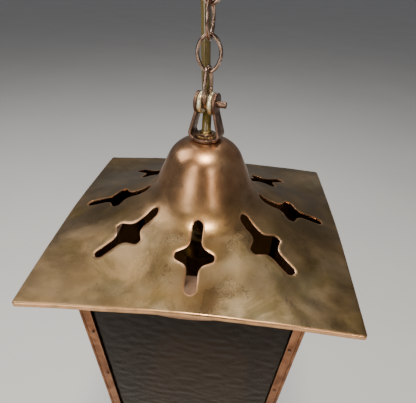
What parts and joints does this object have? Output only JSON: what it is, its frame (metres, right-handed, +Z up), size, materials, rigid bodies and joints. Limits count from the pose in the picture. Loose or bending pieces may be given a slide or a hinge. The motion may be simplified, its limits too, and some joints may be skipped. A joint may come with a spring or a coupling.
{
  "type": "hanging lantern",
  "caption": "Hanging lantern: square domed copper roof with pierced vents on a tapering amber glass body, hung by a bail, pin and oval-link chain with its flex from a ceiling cup.",
  "frame": {"origin": "centre of the ceiling cup and bar, in the plane of the ceiling", "axes": "+Z up into the ceiling, the lantern hangs in -Z; +X to the right and -Y to the front of the lantern, square to its sides"},
  "size_m": [0.203, 0.203, 0.4252],
  "materials": {
    "copper": "aged copper",
    "dark_copper": "dark aged copper",
    "roof_copper": "patinated copper sheet",
    "post_copper": "aged copper strip",
    "chain": "polished and dulled copper wire",
    "brass": "aged brass",
    "disc_brass": "pale worn brass",
    "steel": "plated steel",
    "ceramic": "off-white ceramic",
    "solder": "solder",
    "amber_glass": "dark amber rippled glass",
    "lamp_glass": "clear lamp glass",
    "flex": "glossy old-gold flexible cable"
  },
  "bodies": {
    "ceiling": {"ceiling_cup": "copper", "ceiling_bar": "steel", "ceiling_hook": "dark_copper", "hook_nut": "steel", "cup_ring": "dark_copper", "cord_grip": "brass", "terminal_block": "ceramic", "terminal_screws": "brass"},
    "link_d": {"chain_link_d": "chain"},
    "link_c": {"chain_link_c": "chain"},
    "link_b": {"chain_link_b": "chain"},
    "link_a": {"chain_link_a": "chain"},
    "lantern": {"bail": "dark_copper", "bail_pin": "dark_copper", "bail_spacers": "disc_brass", "stem_tube": "brass", "stem_collar": "brass", "stem_nut": "dark_copper", "flex_ferrule": "brass", "stem_lock_nuts": "brass", "earth_tag": "brass", "earth_screw": "brass", "roof": "roof_copper", "roof_hoop": "copper", "corner_post_back_right": "post_copper", "corner_post_back_left": "post_copper", "corner_post_front_left": "post_copper", "corner_post_front_right": "post_copper", "top_frame": "copper", "bottom_frame": "post_copper", "glass_front": "amber_glass", "glass_right": "amber_glass", "glass_back": "amber_glass", "glass_left": "amber_glass", "post_rivets": "dark_copper", "glass_clips": "copper", "lampholder_cap": "brass", "lampholder_barrel": "brass", "shade_ring": "brass", "lampholder_insulator": "ceramic", "contact_plungers": "brass", "lamp_cap": "brass", "lamp_contacts": "solder", "lamp_glass": "lamp_glass", "lamp_filament": "steel", "flex": "flex"}
  },
  "joints": [
    {"name": "hook_swing", "type": "hinge", "parent": "ceiling", "child": "link_d", "pos_m": [0, 0, -0.0508], "axis": [0.1392, 0.9903, 0], "range_deg": [-18, 18], "deforming": ["flex"]},
    {"name": "link_d_swing", "type": "hinge", "parent": "link_d", "child": "link_c", "pos_m": [0, 0, -0.07005], "axis": [-0.9848, 0.1736, 0], "range_deg": [-18, 18], "deforming": ["flex"]},
    {"name": "link_c_swing", "type": "hinge", "parent": "link_c", "child": "link_b", "pos_m": [0, 0, -0.0895], "axis": [0.2079, 0.9781, 0], "range_deg": [-18, 18], "deforming": ["flex"]},
    {"name": "link_b_swing", "type": "hinge", "parent": "link_b", "child": "link_a", "pos_m": [0, 0, -0.10895], "axis": [-0.9613, 0.2756, 0], "range_deg": [-18, 18], "deforming": ["flex"]},
    {"name": "pin_swing", "type": "hinge", "parent": "link_a", "child": "lantern", "pos_m": [0, 0, -0.129], "axis": [0.9613, -0.2756, 0], "range_deg": [-25, 25], "deforming": ["flex"]}
  ]
}
